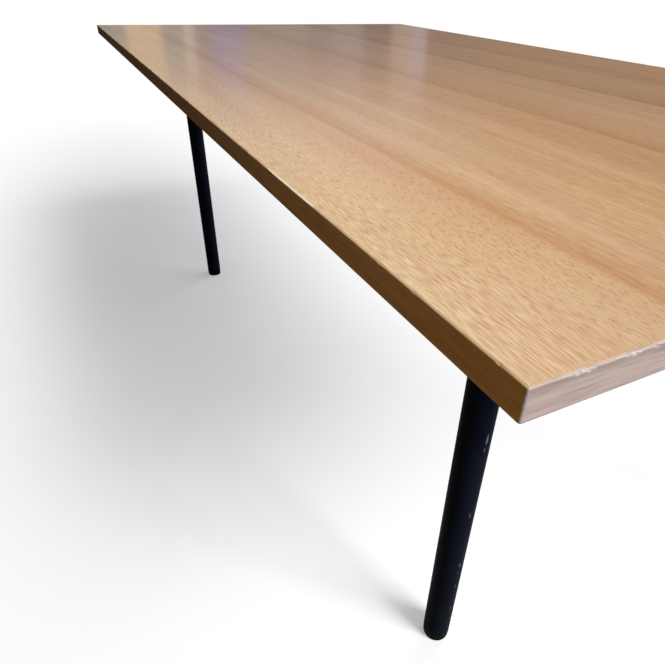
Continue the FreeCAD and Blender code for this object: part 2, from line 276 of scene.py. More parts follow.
streak = add(tree, "TexNoise", {"Vector": grid["streak"], "Scale": 1, "Detail": 4}).outputs[0]
streak_range = {6: streak, 7: [NOISE_LOW] * 3, 8: [NOISE_HIGH] * 3, 9: STREAK_DARK, 10: STREAK_LIGHT}
streak_tone = add(tree, "MapRange", streak_range, data_type="FLOAT_VECTOR").outputs[1]
colour = add(tree, "Mix", {0: 1.0, 6: tone, 7: streak_tone}, **TIMES).outputs[2]
blush = add(tree, "TexNoise", {"Vector": grid["blush"], "Scale": 1, "Detail": 3}).outputs[0]
blush_range = {0: blush, 1: BLUSH_RANGE[0], 2: BLUSH_RANGE[1], 4: BLUSH_SHARE}
blush_share = add(tree, "MapRange", blush_range).outputs[0]
colour = add(tree, "Mix", {0: blush_share, 6: colour, 7: linear("#D6A07A")}, **BLEND).outputs[2]
end_range = {0: xyz["X"], 1: END_START, 2: cad_high.x, 4: END_SHARE}
towards_end = add(tree, "MapRange", end_range).outputs[0]
off_front = add(tree, "MapRange", {0: from_front, 1: END_FRONT[0], 2: END_FRONT[1]}).outputs[0]
end_share = add(tree, "Math", {0: towards_end, 1: off_front}, operation="MULTIPLY").outputs[0]
colour = add(tree, "Mix", {0: end_share, 6: colour, 7: linear("#A0643C")}, **BLEND).outputs[2]
print(len(LEAVES), "leaves with", len(tone_stops), "tones")

# %% Figure of the veneer: lines and flecks
FLECK_CHANCE = (0.15, 1.0)  # a cell whose random value is below the first has the smallest fleck
FLECK_SIZE = (0.05, 0.30)   # half width of the smallest and the largest fleck, in cells

rule = add(tree, "TexNoise", {"Vector": grid["rule"], "Scale": 1, "Detail": 2}).outputs[0]
dash = add(tree, "TexNoise", {"Vector": grid["dash"], "Scale": 1, "Detail": 0}).outputs[0]
cell = add(tree, "TexVoronoi", {"Vector": grid["fleck"], "Scale": 1}, voronoi_dimensions="2D").outputs
chance = {0: cell["Color"], 1: FLECK_CHANCE[0], 2: FLECK_CHANCE[1], 3: FLECK_SIZE[0], 4: FLECK_SIZE[1]}
fleck_size = add(tree, "MapRange", chance).outputs[0]
inside = add(tree, "Math", {0: fleck_size, 1: cell["Distance"]}, operation="SUBTRACT").outputs[0]
figures = {
    # pattern, the values at which a mark starts and is full, and its tint
    "rule": (rule, 0.50, 0.68, "#B07C4E"),
    "dash": (dash, 0.50, 0.66, "#A86A14"),
    "pale": (dash, 0.50, 0.34, "#FADBB0"),
    "fleck": (inside, 0.0, 0.06, "#9A651C"),
}
zones = {
    # how strong the marks are, at shares of the table's width from the front
    "rule": [(0, 0.05), (0.115, 0.05), (0.122, 0.20), (0.25, 0.24), (0.39, 0.12), (0.40, 0.25), (1, 0.20)],
    "dash": [(0, 0.25), (0.016, 0.36), (0.04, 0.32), (0.07, 0.12), (0.115, 0.06), (0.122, 0.09), (1, 0.13)],
    "pale": [(0, 0.40), (0.016, 0.56), (0.04, 0.50), (0.07, 0.22), (0.115, 0.16), (0.122, 0.22), (1, 0.18)],
    "fleck": [(0, 0.15), (0.04, 0.35), (0.06, 0.62), (0.115, 0.68), (0.122, 0.10), (0.30, 0.30), (1, 0.30)],
}
marks = {}
for name, (pattern, start, full, tint) in figures.items():
    mask = add(tree, "MapRange", {0: pattern, 1: start, 2: full}, **SOFT).outputs[0]
    zone = add(tree, "ValToRGB", {0: from_front}, grey_stops(zones[name])).outputs[0]
    marks[name] = add(tree, "Math", {0: mask, 1: zone}, operation="MULTIPLY").outputs[0]
    colour = add(tree, "Mix", {0: marks[name], 6: colour, 7: linear(tint)}, **BLEND).outputs[2]
print("marks in the veneer:", list(marks))

# %% Lacquer over the veneer
PORE_DEPTH = 0.00002
RUBBED_PATCH = 0.09   # size of the patches that use has left a little duller
GLOSS = (0.16, 0.20)  # roughness of the lacquer, at its shiniest and dullest

pores = add(tree, "Math", {0: marks["dash"], 1: marks["fleck"]}, operation="ADD").outputs[0]
sunk = {"Height": pores, "Strength": 0.2, "Distance": PORE_DEPTH}
relief = add(tree, "Bump", sunk, invert=True).outputs[0]
rubbing = add(tree, "TexNoise", {"Vector": place, "Scale": 1 / RUBBED_PATCH, "Detail": 4}).outputs[0]
gloss = add(tree, "MapRange", {0: rubbing, 1: NOISE_LOW, 2: NOISE_HIGH, 3: GLOSS[0], 4: GLOSS[1]}).outputs[0]
coat = {"Base Color": colour, "Roughness": gloss, "Normal": relief, "IOR": 1.5}
wood = add(tree, "BsdfPrincipled", coat).outputs[0]
add(tree, "OutputMaterial", {0: wood})
print("top finish:", veneer.name)

# %% [markdown]
# ## Beech edge band
# The edges of the board are closed with a 2 mm band of the same wood, cut along the grain,
# so thin straight lines run along it. The band is handled and knocked more than the top.
# Where its lacquer is rubbed through, the wood is paler and duller. The meshes made below carry a value for
# that, and the finish mixes towards bare wood with it. That value also carries painted highlights: a pale
# stretch on the front upper edge that stands in for a glint of light, and part of the paleness of the upright
# corners. The bands of the two ends have a paler, greyer tone, which a second value says, and part of that
# tone is painted light that stands in for the cool light on the ends. They are also darker just below the
# upper edge and at the lower.

# %% Beech edge band, lacquered and rubbed
BAND_LINE = (0.028, 0.0008)   # fine lines along the band
BAND_CLOUD = (0.160, 0.0060)  # broader change of tone
BAND_TONES = [(0.30, "#CBA67B"), (0.50, "#D3B088"), (0.70, "#DAB992")]
# painted light in part: the end bands' paler, greyer tones stand in partly for the cool light that falls on
# the ends
PAINTED_LIGHT_END_TONES = [(0.30, "#D3BAA5"), (0.50, "#DDC4AE"), (0.70, "#E5CEB9")]
BAND_DARKENING = [
    # share of the band's height, and how much of the tone is left there
    (0.01, 0.74), (0.07, 1.0), (0.59, 1.0), (0.73, 0.92), (0.86, 0.80), (0.94, 0.80), (0.985, 1.0),
]
LINE_RANGE = (0.48, 0.68)     # values of the noise between which a line sets in
LINE_SHARE = 0.38             # how much of the tone it hides

band, tree, place = new_material("beech_edge_band_lacquered")
xyz = add(tree, "SeparateXYZ", {0: place}).outputs
along = add(tree, "Math", {0: xyz["X"], 1: xyz["Y"]}, operation="ADD").outputs[0]
run = add(tree, "CombineXYZ", {0: along, 1: xyz["Z"]}).outputs[0]
figure = {}
for name, size in {"line": BAND_LINE, "cloud": BAND_CLOUD}.items():
    scaled = {0: run, 1: per_metre(size)}
    figure[name] = add(tree, "VectorMath", scaled, operation="MULTIPLY").outputs[0]
line = add(tree, "TexNoise", {"Vector": figure["line"], "Scale": 1, "Detail": 3}).outputs[0]
cloud = add(tree, "TexNoise", {"Vector": figure["cloud"], "Scale": 1, "Detail": 4}).outputs[0]
tone = add(tree, "ValToRGB", {0: cloud}, colour_stops(BAND_TONES)).outputs[0]
lit_end_tone = add(tree, "ValToRGB", {0: cloud}, colour_stops(PAINTED_LIGHT_END_TONES)).outputs[0]
# the value that picks the end bands' look, whose tone is partly painted light
aged = add(tree, "Attribute", attribute_name="aged").outputs["Fac"]
band_low, band_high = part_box("edge_band_right")
height = add(tree, "MapRange", {0: xyz["Z"], 1: band_low.z, 2: band_high.z}).outputs[0]
# the end bands are darker just below the upper edge and at the lower
darkening = add(tree, "ValToRGB", {0: height}, grey_stops(BAND_DARKENING)).outputs[0]
lit_end_tone = add(tree, "Mix", {0: 1.0, 6: lit_end_tone, 7: darkening}, **TIMES).outputs[2]
tone = add(tree, "Mix", {0: aged, 6: tone, 7: lit_end_tone}, **BLEND).outputs[2]
line_range = {0: line, 1: LINE_RANGE[0], 2: LINE_RANGE[1], 4: LINE_SHARE}
line_mask = add(tree, "MapRange", line_range, **SOFT).outputs[0]
lined = add(tree, "Mix", {0: line_mask, 6: tone, 7: linear("#8E6844")}, **BLEND).outputs[2]
print("tones of the band:", len(BAND_TONES), "fresh,", len(PAINTED_LIGHT_END_TONES), "lit_end_tone")

# %% Bare wood of the band
BARE_GRAIN = 0.0012           # size of the bits that fray a rubbed place
BARE_FRAY = 0.6               # how much they fray it
BARE_RANGE = (0.50, 1.10)     # worn and frayed, the lacquer starts to go and is gone at these
BARE_SHARE = 0.92             # how much of the tone bare wood hides
BARE_WOOD_AND_HIGHLIGHT = ("#FFF2D6", "#E6DCD4")  # on the long bands, where the first also paints the glint on the front edge, and on the ends
BAND_GLOSS = (0.45, 0.65)     # roughness of lacquer and of bare wood
BAND_SHEEN = 0.0              # at Blender's usual 0.5 the white set would make the edge paler

worn = add(tree, "Attribute", attribute_name="worn").outputs["Fac"]
grain = add(tree, "TexNoise", {"Vector": place, "Scale": 1 / BARE_GRAIN, "Detail": 3}).outputs[0]
ragged = add(tree, "Math", {0: grain, 1: BARE_FRAY, 2: worn}, operation="MULTIPLY_ADD").outputs[0]
bare_range = {0: ragged, 1: BARE_RANGE[0], 2: BARE_RANGE[1], 4: BARE_SHARE}
bare_and_highlight = add(tree, "MapRange", bare_range, **SOFT).outputs[0]
# The near-white first colour also paints the glint on the front edge, a painted highlight.
bare_and_highlight_tones = {0: aged, 6: linear(BARE_WOOD_AND_HIGHLIGHT[0]), 7: linear(BARE_WOOD_AND_HIGHLIGHT[1])}
bare_and_highlight_tone = add(tree, "Mix", bare_and_highlight_tones, **BLEND).outputs[2]
colour = add(tree, "Mix", {0: bare_and_highlight, 6: lined, 7: bare_and_highlight_tone}, **BLEND).outputs[2]
dull = add(tree, "MapRange", {0: bare_and_highlight, 3: BAND_GLOSS[0], 4: BAND_GLOSS[1]}).outputs[0]
relief = add(tree, "Bump", {"Height": line, "Strength": 0.2, "Distance": 0.0001}).outputs[0]
coat = {"Base Color": colour, "Roughness": dull, "Normal": relief, "Specular IOR Level": BAND_SHEEN}
wood = add(tree, "BsdfPrincipled", coat).outputs[0]
add(tree, "OutputMaterial", {0: wood})
print("edge band finish:", band.name)

# %% [markdown]
# ## Underside and core
# The underside has a balancing veneer, which only has to pull as hard as the one on top, so
# it is plain and less finely finished: a few broad streaks and a matt seal coat. Between the
# two lies particleboard, chips of wood pressed with glue, which shows only in drilled holes.
# A cell pattern with one colour per cell gives chips.

# %% Beech backing veneer, sealed, and particleboard
BACK_STREAK = (0.60, 0.018)      # length and width of a streak
BACK_TONES = [(0.30, "#B48D66"), (0.52, "#C7A27C"), (0.72, "#D0AE8A")]
CHIP = (0.0060, 0.0020, 0.0015)  # size of a chip along X, Y and Z
CHIP_TONES = [(0.0, "#8E6C45"), (0.5, "#B99A6E"), (1.0, "#D2B88E")]

backing, tree, place = new_material("beech_backing_sealed")
scaled = add(tree, "VectorMath", {0: place, 1: per_metre(BACK_STREAK)}, operation="MULTIPLY").outputs[0]
noise = {"Vector": scaled, "Scale": 1, "Detail": 6, "Roughness": 0.65}
streak = add(tree, "TexNoise", noise).outputs[0]
colour = add(tree, "ValToRGB", {0: streak}, colour_stops(BACK_TONES)).outputs[0]
relief = add(tree, "Bump", {"Height": streak, "Strength": 0.2, "Distance": 0.0003}).outputs[0]
coat = {"Base Color": colour, "Roughness": 0.62, "Normal": relief, "IOR": 1.5}
wood = add(tree, "BsdfPrincipled", coat).outputs[0]
add(tree, "OutputMaterial", {0: wood})

chipboard, tree, place = new_material("particleboard_raw")
scaled = add(tree, "VectorMath", {0: place, 1: per_metre(CHIP)}, operation="MULTIPLY").outputs[0]
chips = add(tree, "TexVoronoi", {"Vector": scaled, "Scale": 1}).outputs
colour = add(tree, "ValToRGB", {0: chips["Color"]}, colour_stops(CHIP_TONES)).outputs[0]
relief = add(tree, "Bump", {"Height": chips["Distance"], "Strength": 0.5, "Distance": 0.0004}).outputs[0]
wood = add(tree, "BsdfPrincipled", {"Base Color": colour, "Roughness": 0.85, "Normal": relief}).outputs[0]
add(tree, "OutputMaterial", {0: wood})
print("underside and core:", backing.name, chipboard.name)

# %% [markdown]
# ## Black lacquered steel
# Legs and mounting plates are steel with a satin black stoving lacquer. It is nearly black,
# so what the eye reads is a faint soft sheen at its sides, broken by a very fine orange-peel
# texture. The sheen is set low, because the white set all round would turn the black grey.
# Chairs knock the lacquer off down to a pale grey primer. The leg meshes carry a value called
# scuffed where that happens, and fine noise makes the marks ragged.

# %% Steel, satin black stoving lacquer
PEEL = 0.0014                     # drawn coarser than the real 0.5 mm, so that it shows
HAZE = 0.05                       # patches where the lacquer is a little duller
LACQUER_TONES = [(NOISE_LOW, "#15181F"), (NOISE_HIGH, "#1C1F27")]
LACQUER_GLOSS = (0.38, 0.50)      # roughness, at its shiniest and dullest
LACQUER_SHEEN = 0.004             # Blender's usual level is 0.5
FLAKE = (0.0022, 0.0022, 0.0060)  # ragged parts of a scuff, longer up and down
FLAKE_FRAY = 0.9                  # how much they fray it
PRIMER_RANGE = (0.74, 1.10)       # scuffed and frayed, the primer starts to show and is bare at these
PRIMER_SHARE = 0.8                # how much of the black it hides

black_steel, tree, place = new_material("steel_black_lacquer")
peel = add(tree, "TexNoise", {"Vector": place, "Scale": 1 / PEEL, "Detail": 2}).outputs[0]
haze = add(tree, "TexNoise", {"Vector": place, "Scale": 1 / HAZE, "Detail": 4}).outputs[0]
tone = add(tree, "ValToRGB", {0: haze}, colour_stops(LACQUER_TONES)).outputs[0]
scuffed = add(tree, "Attribute", attribute_name="scuffed").outputs["Fac"]
flaking = add(tree, "VectorMath", {0: place, 1: per_metre(FLAKE)}, operation="MULTIPLY").outputs[0]
flake = add(tree, "TexNoise", {"Vector": flaking, "Scale": 1, "Detail": 3}).outputs[0]
ragged = add(tree, "Math", {0: flake, 1: FLAKE_FRAY, 2: scuffed}, operation="MULTIPLY_ADD").outputs[0]
primer_range = {0: ragged, 1: PRIMER_RANGE[0], 2: PRIMER_RANGE[1], 4: PRIMER_SHARE}
primer = add(tree, "MapRange", primer_range, **SOFT).outputs[0]
colour = add(tree, "Mix", {0: primer, 6: tone, 7: linear("#8A929C")}, **BLEND).outputs[2]
sheen_range = {0: haze, 1: NOISE_LOW, 2: NOISE_HIGH, 3: LACQUER_GLOSS[0], 4: LACQUER_GLOSS[1]}
sheen = add(tree, "MapRange", sheen_range).outputs[0]
relief = add(tree, "Bump", {"Height": peel, "Strength": 0.15, "Distance": 0.0002}).outputs[0]
coat = {"Base Color": colour, "Roughness": sheen, "Normal": relief, "Specular IOR Level": LACQUER_SHEEN}
paint = add(tree, "BsdfPrincipled", coat).outputs[0]
add(tree, "OutputMaterial", {0: paint})
print("leg finish:", black_steel.name)

# %% [markdown]
# ## Moulded plastic
# The plugs and feet are injection-moulded polypropylene. Its mould was spark-eroded, which
# leaves a fine even grain, and the foot is rubbed greyer where it stands on the floor.

# %% Polypropylene, spark-eroded mould grain
MOULD_GRAIN = 0.0009
DUST_PATCH = 0.012           # size of the patches that dust settles in
DUST_HEIGHT = 0.002          # the foot is dusty up to here
DUST_SHARE = 0.20            # how much of the black the dust hides, at the floor
MOULDED_GLOSS = (0.48, 0.60)
MOULDED_SHEEN = 0.02         # set low for the same reason as on the legs

plastic, tree, place = new_material("polypropylene_black_moulded")
xyz = add(tree, "SeparateXYZ", {0: place}).outputs
grain = add(tree, "TexVoronoi", {"Vector": place, "Scale": 1 / MOULD_GRAIN}).outputs["Distance"]
haze = add(tree, "TexNoise", {"Vector": place, "Scale": 1 / DUST_PATCH, "Detail": 4}).outputs[0]
low = add(tree, "MapRange", {0: xyz["Z"], 1: 0.0, 2: DUST_HEIGHT, 3: DUST_SHARE, 4: 0.0}).outputs[0]
dusty = add(tree, "Math", {0: low, 1: haze}, operation="MULTIPLY").outputs[0]
colour = add(tree, "Mix", {0: dusty, 6: linear("#0A0A0B"), 7: linear("#6E6A64")}, **BLEND).outputs[2]
sheen_range = {0: haze, 1: NOISE_LOW, 2: NOISE_HIGH, 3: MOULDED_GLOSS[0], 4: MOULDED_GLOSS[1]}
sheen = add(tree, "MapRange", sheen_range).outputs[0]
relief = add(tree, "Bump", {"Height": grain, "Strength": 0.2, "Distance": 0.0001}).outputs[0]
coat = {"Base Color": colour, "Roughness": sheen, "Normal": relief, "Specular IOR Level": MOULDED_SHEEN}
moulded = add(tree, "BsdfPrincipled", coat).outputs[0]
add(tree, "OutputMaterial", {0: moulded})
print("foot finish:", plastic.name)

# %% [markdown]
# ## Plated and plain steel
# Screws, studs and spindles are zinc plated: bright, slightly blue, with cloudy patches
# where the passivated layer is thicker. The nut plate inside each tube is plain rolled
# steel, darker, with the lines that rolling leaves.

# %% Zinc-plated steel and plain rolled steel
ZINC_CLOUD = (0.004, 0.004, 0.004)     # size of a cloudy patch along X, Y and Z
ROLLED_LINE = (0.020, 0.0004, 0.0004)  # and of a line that rolling left
METALS = {
    # size and detail of the pattern, its two tones, and the roughness that goes with each
    "steel_zinc_plated": (ZINC_CLOUD, 4, "#A9AEB2", "#CFD2D2", 0.40, 0.26),
    "steel_rolled_plain": (ROLLED_LINE, 3, "#6F7072", "#96979A", 0.50, 0.36),
}
metals = []
for name, (size, detail, dark, bright, dull, shiny) in METALS.items():
    metal, tree, place = new_material(name)
    scaled = add(tree, "VectorMath", {0: place, 1: per_metre(size)}, operation="MULTIPLY").outputs[0]
    pattern = add(tree, "TexNoise", {"Vector": scaled, "Scale": 1, "Detail": detail}).outputs[0]
    metal_tones = colour_stops([(NOISE_LOW, dark), (NOISE_HIGH, bright)])
    colour = add(tree, "ValToRGB", {0: pattern}, metal_tones).outputs[0]
    rough = add(tree, "MapRange", {0: pattern, 1: NOISE_LOW, 2: NOISE_HIGH, 3: dull, 4: shiny}).outputs[0]
    skin = add(tree, "BsdfPrincipled", {"Base Color": colour, "Metallic": 1.0, "Roughness": rough}).outputs[0]
    add(tree, "OutputMaterial", {0: skin})
    metals.append(metal)
zinc, rolled = metals
print("metals:", zinc.name, rolled.name)

# %% [markdown]
# ## Finishes for the CAD pieces
# Flat sheets and drilled plates are already right in the CAD model, so they keep their shape
# and only change their finish. Going by material slot keeps the two models together.

# %% Give each CAD piece its finish
FINISHES = {
    "beech_veneer": veneer,
    "beech_edge": band,
    "beech_backing": backing,
    "particleboard": chipboard,
    "black_steel": black_steel,
    "zinc_steel": zinc,
    "raw_steel": rolled,
    "black_plastic": plastic,
}
slot_of = {row["node"]: row["material_slot"] for row in frame["record"]["subparts"]}
for name, node in frame["nodes"].items():
    node.data.materials.clear()
    node.data.materials.append(FINISHES[slot_of[name]])
print(len(slot_of), "CAD pieces in", len(set(slot_of.values())), "finishes")

# %% [markdown]
# ## Edge bands with worn edges
# Each band is a strip with rounded outer edges. A box with a Bevel modifier would give the
# shape, but not the rubbing and chips that years of use leave. So the outline of the band is
# carried along its length: every point lies on a core line, pushed out by the edge radius
# along its normal, and wear takes a little of that push away. At the ends of the long bands
# the core line turns inwards along a quarter circle, which rounds the corners of the table.

# %% Wear along an edge
EDGE_RADIUS = 0.0008     # rounding along the bands
CORNER_RADIUS = 0.0020   # rounding of the upright corners of the table
WAVES = 8                # cosines in a wandering line
LONGEST_WAVE = 12        # as a multiple of the shortest
WAVE_PEAK = 0.6          # their mean stays mostly below this


def knocks(along, girth, spots):
    """Depth of wear. Each spot is a dome, deepest in the middle: depth times (1 - d squared) squared.
    d is the distance from its middle, measured in its own half length and half width. The deepest counts."""
    where, side, half_length, half_width, depth = np.asarray(spots, float).T
    along_part = (along[:, None, None] - where) / half_length
    girth_part = (girth[None, :, None] - side) / half_width
    gap = along_part ** 2 + girth_part ** 2
    return (depth * np.clip(1 - gap, 0, None) ** 2).max(axis=-1)


def waves(along, shortest, seed):
    """A wandering line, mostly from 0 to 1: the mean of cosines of falling length and random phase."""
    chance = np.random.default_rng(seed)
    lengths = shortest * np.geomspace(LONGEST_WAVE, 1, WAVES)
    angle = 2 * np.pi * (along[:, None] / lengths + chance.random(WAVES))
    return 0.5 + 0.5 * np.cos(angle).mean(axis=1) / WAVE_PEAK


def scattered_spots(span, count, seed):
    """Small chips on the upper edge, at random places along the span."""
    chance = np.random.default_rng(seed)
    where = chance.uniform(-span / 2, span / 2, count)
    side = chance.normal(0, 0.0005, count)
    half_length = chance.uniform(0.0010, 0.0045, count)
    half_width = chance.uniform(0.0006, 0.0014, count)
    depth = chance.uniform(0.00010, 0.00045, count)
    return np.stack([where, side, half_length, half_width, depth], axis=1)


trial_depth = knocks(np.zeros(1), np.zeros(1), [(0, 0, 1, 1, 0.001)])[0, 0]
print("a chip 1 mm deep is", trial_depth, "m deep in its middle")

# %% Outline across a band and places along it
ARC_ROWS = 9          # points of a rounded edge
FINE_STRIP = 0.005    # upper part of the face, with closer points for the chips
FACE_ROWS = (7, 11)   # points below that part and in it
BEND_ROWS = 12        # points of a rounded corner
RUN_STEP = 0.0009     # distance between points along a band


def band_outline(low, high, thickness):
    """Outline from the lower to the upper inner corner, by core points and the angle of the normal there.
    The normal turns from down, through outwards, to up. Girth counts from the middle of the upper edge."""
    arc = np.linspace(0, 90, ARC_ROWS)
    coarse = np.linspace(low + EDGE_RADIUS, high - FINE_STRIP, FACE_ROWS[0])
    fine = np.linspace(high - FINE_STRIP, high - EDGE_RADIUS, FACE_ROWS[1])
    face = np.concatenate([coarse, fine[1:]])
    facing = np.radians(np.concatenate([[-90], arc - 90, face[1:-1] * 0, arc, [90]]))
    core_up = np.concatenate([face[:1], arc * 0 + face[0], face[1:-1], arc * 0 + face[-1], face[-1:]])
    core_out = np.full(facing.shape, thickness - EDGE_RADIUS)
    core_out[[0, -1]] = 0
    normal = np.stack([np.cos(facing), np.sin(facing)], axis=1)
    outline = np.stack([core_out, core_up], axis=1) + EDGE_RADIUS * normal
    girth = np.concatenate([[0], np.cumsum(np.linalg.norm(np.diff(outline, axis=0), axis=1))])
    upper_edge = -2 - ARC_ROWS // 2
    return core_out, core_up, facing, girth - girth[upper_edge]


def band_run(low, high, round_ends):
    """Places along a band. Round a corner the core line goes inwards along a quarter circle. While the
    bend goes from 90 degrees to 0, way from the end = r (1 - sin bend) and inset = r (1 - cos bend)."""
    reach = CORNER_RADIUS if round_ends else 0
    bend = np.radians(np.linspace(90, 0, BEND_ROWS)) if round_ends else np.zeros(1)
    end_run = reach * np.sin(bend)
    turn_in = reach * (1 - np.cos(bend))
    middle = np.linspace(low + reach, high - reach, int((high - low) / RUN_STEP))
    run = np.concatenate([low + reach - end_run, middle, (high - reach + end_run)[::-1]])
    inset = np.concatenate([turn_in, middle * 0, turn_in[::-1]])
    return run, inset


print("a band 1 m long has", len(band_run(0, 1, True)[0]), "places along it")

# %% Carry the band's outline along its length
RUB_WIDTH = 0.0008     # half width of the rubbed line along the upper edge
RUB_WAVE = 0.012       # shortest wave of its strength
RUB_LEAST = 0.45       # its strength where it is weakest, as a share of the strongest
RUB_DEPTH = 0.00012
WEAR_LIMIT = 0.0012    # no chip is deeper
BARE_DEPTH = 0.0006    # a chip of this depth counts as fully worn
CORNER_WEAR_AND_HIGHLIGHT = 0.68     # how pale the upright corners are: partly wear, partly a painted highlight
END_LOOK_ROWS = 9          # points at both ends of a long band that look like the end bands


def edge_band(node, direction, round_ends, rub, bared, age, spots, rubs_and_glint, seed):
    """Outline times run: core point plus (edge radius - wear) times the normal. Next to a rounded end the
    edge also drops: drop = r - root of (r squared - s squared), with s = r - distance from the end."""
    low, high = (np.array(v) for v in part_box(node))
    axis, out = (0, 1) if direction in ("front", "rear") else (1, 0)
    sign = -1 if direction in ("front", "left") else 1
    inner = high[out] if sign < 0 else low[out]
    thickness = high[out] - low[out]
    core_out, core_up, facing, girth = band_outline(low[2], high[2], thickness)
    run, inset = band_run(low[axis], high[axis], round_ends)
    from_end = np.minimum(run - low[axis], high[axis] - run)
    short = np.clip(EDGE_RADIUS - from_end, 0, EDGE_RADIUS) if round_ends else run * 0
    drop = EDGE_RADIUS - np.sqrt(EDGE_RADIUS ** 2 - short ** 2)

    chips = knocks(run, girth, spots)
    near_edge = np.exp(-(girth / RUB_WIDTH) ** 2)
    rubbed = near_edge * (RUB_LEAST + (1 - RUB_LEAST) * waves(run, RUB_WAVE, seed)[:, None])
    wear = np.clip(chips + RUB_DEPTH * rubbed, 0, WEAR_LIMIT) * (core_out > 0)
    push_out = np.clip(np.minimum(EDGE_RADIUS, thickness - inset)[:, None] - wear, 0, None)
    push_up = np.clip(EDGE_RADIUS - drop[:, None] - wear, 0, None)
    # painted highlight in part: the upright corners are drawn pale along their rounding, partly as wear and
    # partly as a highlight.
    corner = CORNER_WEAR_AND_HIGHLIGHT * np.sin(np.pi * np.clip(inset / CORNER_RADIUS, 0, 1))[:, None]
    # Besides wear this carries painted highlights: the glint stretch on the front edge, and in part the
    # upright corners.
    worn = np.clip(rub * rubbed + bared * chips / BARE_DEPTH + corner + knocks(run, girth, rubs_and_glint), 0, 1)

    core = np.clip(core_out - inset[:, None], 0, None)
    points = np.empty((*push_up.shape, 3))
    points[..., axis] = run[:, None]
    points[..., out] = inner + sign * (core + push_out * np.cos(facing))
    points[..., 2] = core_up + push_up * np.sin(facing)
    ends = points[[0, -1]]
    caps = ends.mean(axis=1, keepdims=True) + np.zeros_like(ends)
    points = np.concatenate([caps[:1], points, caps[1:]])
    worn = np.concatenate([worn[:1] * 0, worn, worn[-1:] * 0])
    aged = np.full(worn.shape, age)
    aged[:END_LOOK_ROWS] = 1
    aged[-END_LOOK_ROWS:] = 1
    mesh = surface("worn_" + node, points, closed_columns=True, worn=worn, aged=aged)
    show(mesh, band, "table", node)


print("bands: edge radius", EDGE_RADIUS, "m, corner radius", CORNER_RADIUS, "m")

# %% [markdown]
# The places of the larger chips come from the photograph: a run of them on the upper edge of the right end,
# close to the near corner, and two nicks in the front edge. A longer pale stretch of the front upper edge is
# a painted highlight, a glint of light drawn as rubbed lacquer. The other two edges repeat a few of these,
# and all four get small chips at random places, from a fixed seed.

# %% The four bands
RIGHT_CHIPS = [
    # place along the band, way round from the upper edge, half length, half width and depth, in metres
    (-0.4745, -0.0006, 0.0018, 0.0010, 0.0006),
    (-0.4700, -0.0013, 0.0032, 0.0014, 0.0008),
    (-0.4665, -0.0004, 0.0024, 0.0012, 0.0007),
    (-0.4630, -0.0017, 0.0026, 0.0012, 0.0008),
    (-0.4600, -0.0008, 0.0020, 0.0012, 0.0007),
    (-0.4380, -0.0008, 0.0020, 0.0010, 0.0006),
    (-0.4335, -0.0013, 0.0026, 0.0013, 0.0008),
    (-0.4300, -0.0004, 0.0016, 0.0009, 0.0006),
    (-0.4190, -0.0008, 0.0028, 0.0012, 0.0007),
    (-0.4160, -0.0014, 0.0016, 0.0010, 0.0006),
]
RIGHT_RUBS = [
    # the same, but with how worn the place is instead of a depth
    (-0.4670, -0.0008, 0.0110, 0.0017, 0.62),
    (-0.4330, -0.0008, 0.0080, 0.0015, 0.50),
]
FRONT_CHIPS = [
    (0.880, 0.0004, 0.0016, 0.0012, 0.0008),
    (0.767, 0.0002, 0.0020, 0.0010, 0.0006),
]
FRONT_RUBS_AND_GLINT = [
    # painted highlight: the first row is a glint of light on the front upper edge, drawn pale like rubbed
    # lacquer; the second is a rubbed place
    (0.617, 0.0010, 0.072, 0.0026, 2.0),
    (0.520, 0.0000, 0.020, 0.0008, 0.4),
]
BANDS = {
    # rounded ends, wear of the rubbed line, of chips, look of the end bands, chips, rubbed places (on the
    # front with a painted glint), seed, number of small chips
    "front": (True, 0.05, 0.1, 0.0, FRONT_CHIPS, FRONT_RUBS_AND_GLINT, 11, 14),
    "rear": (True, 0.05, 0.1, 0.0, FRONT_CHIPS[:1], FRONT_RUBS_AND_GLINT[1:], 12, 16),
    "left": (False, 0.45, 0.55, 1.0, RIGHT_CHIPS[5:], FRONT_RUBS_AND_GLINT[1:], 13, 16),
    "right": (False, 0.45, 0.55, 1.0, RIGHT_CHIPS, RIGHT_RUBS, 14, 12),
}
for direction, (round_ends, rub, bared, age, chips, rubs_and_glint, seed, count) in BANDS.items():
    node = "edge_band_" + direction
    span = max(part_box(node)[1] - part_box(node)[0])
    spots = np.concatenate([chips, scattered_spots(span, count, seed)])
    edge_band(node, direction, round_ends, rub, bared, age, spots, rubs_and_glint, seed)

# %% [markdown]
# ## Turned surfaces
# Tubes, plugs and feet are round, so one outline turned about the leg's axis gives each of
# them. Sharp corners catch no light, so the outline's corners are rounded first: a corner
# with the directions a and b to its two neighbours becomes the arc
# corner + r (a + b) - r (b cos t + a sin t), with t from 0 to a right angle.

# %% Round an outline and turn it


def rounded(corners, radii, steps=6):
    """Rounds right-angled corners of a (radius, height) outline. A radius of 0 leaves a corner sharp."""
    corners = np.asarray(corners, float)
    t = np.linspace(0, np.pi / 2, steps + 1)[:, None]
    runs = []
    for i, (corner, radius) in enumerate(zip(corners, radii)):
        if radius == 0:
            runs.append(corner[None])
            continue
        a = corners[i - 1] - corner
        b = corners[(i + 1) % len(corners)] - corner
        a = a / np.linalg.norm(a)
        b = b / np.linalg.norm(b)
        runs.append(corner + radius * (a + b) - radius * (b * np.cos(t) + a * np.sin(t)))
    return np.concatenate(runs)


def turned(outline, centre, segments=96):
    """Each (radius, height) point becomes a ring at its height: centre + radius (cos angle, sin angle)."""
    angle = np.linspace(0, 2 * np.pi, segments, endpoint=False)
    ring = np.stack([np.cos(angle), np.sin(angle)], axis=1)
    flat = np.asarray(centre) + outline[:, None, :1] * ring
    height = np.broadcast_to(outline[:, None, 1:], (*flat.shape[:2], 1))
    return np.concatenate([flat, height], axis=2)


